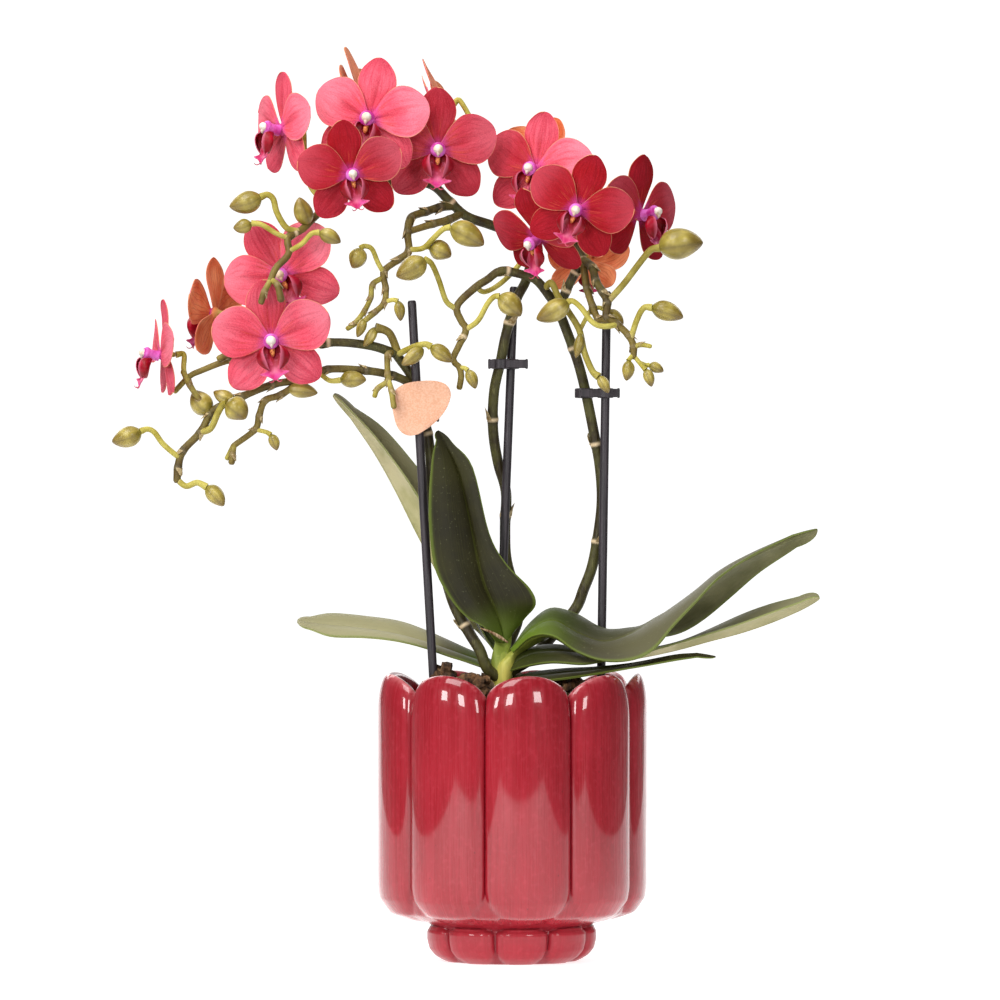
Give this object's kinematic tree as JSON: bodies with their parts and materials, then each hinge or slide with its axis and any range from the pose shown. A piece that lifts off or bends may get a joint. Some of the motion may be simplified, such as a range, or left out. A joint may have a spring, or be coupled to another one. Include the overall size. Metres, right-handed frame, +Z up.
{
  "type": "potted moth orchid",
  "caption": "Potted moth orchid with arching staked flower spikes, buds and blooms over broad leaves in a lobed ceramic pot.",
  "frame": {"origin": "centre of the flat underside of the pot's foot", "axes": "+Z up along the pot's axis, -Y towards the viewer of the plant's front, +X to that viewer's right"},
  "size_m": [0.3051, 0.1161, 0.3991],
  "materials": {
    "glaze": "gloss",
    "clear_plastic": "satin",
    "bark": "matte",
    "crown": "satin",
    "leaf": "satin",
    "stem": "satin",
    "black_plastic": "matte",
    "card": "matte",
    "petal": "satin",
    "lip": "satin"
  },
  "bodies": {
    "root": {"pot": "glaze", "grow_pot": "clear_plastic", "bark": "bark", "crown": "crown", "leaf_upright": "leaf", "leaf_back_left": "leaf", "leaf_low_left": "leaf", "leaf_wavy_right": "leaf", "leaf_right": "leaf", "leaf_low_right": "leaf", "spike_left": "stem", "spike_middle": "stem", "spike_right": "stem", "stick_left": "black_plastic", "stick_middle": "black_plastic", "stick_right": "black_plastic", "clip_left": "black_plastic", "clip_middle": "black_plastic", "clip_right": "black_plastic", "tag": "card", "bloom_01_tepals": "petal", "bloom_01_lip": "lip", "bloom_02_tepals": "petal", "bloom_02_lip": "lip", "bloom_03_tepals": "petal", "bloom_03_lip": "lip", "bloom_04_tepals": "petal", "bloom_04_lip": "lip", "bloom_05_tepals": "petal", "bloom_05_lip": "lip", "bloom_06_tepals": "petal", "bloom_06_lip": "lip", "bloom_07_tepals": "petal", "bloom_07_lip": "lip", "bloom_08_tepals": "petal", "bloom_08_lip": "lip", "bloom_09_tepals": "petal", "bloom_09_lip": "lip", "bloom_10_tepals": "petal", "bloom_10_lip": "lip", "bloom_11_tepals": "petal", "bloom_11_lip": "lip", "bloom_12_tepals": "petal", "bloom_12_lip": "lip", "bloom_13_tepals": "petal", "bloom_13_lip": "lip", "bloom_14_tepals": "petal", "bloom_14_lip": "lip", "bloom_15_tepals": "petal", "bloom_15_lip": "lip", "bloom_16_tepals": "petal", "bloom_16_lip": "lip"}
  },
  "joints": []
}
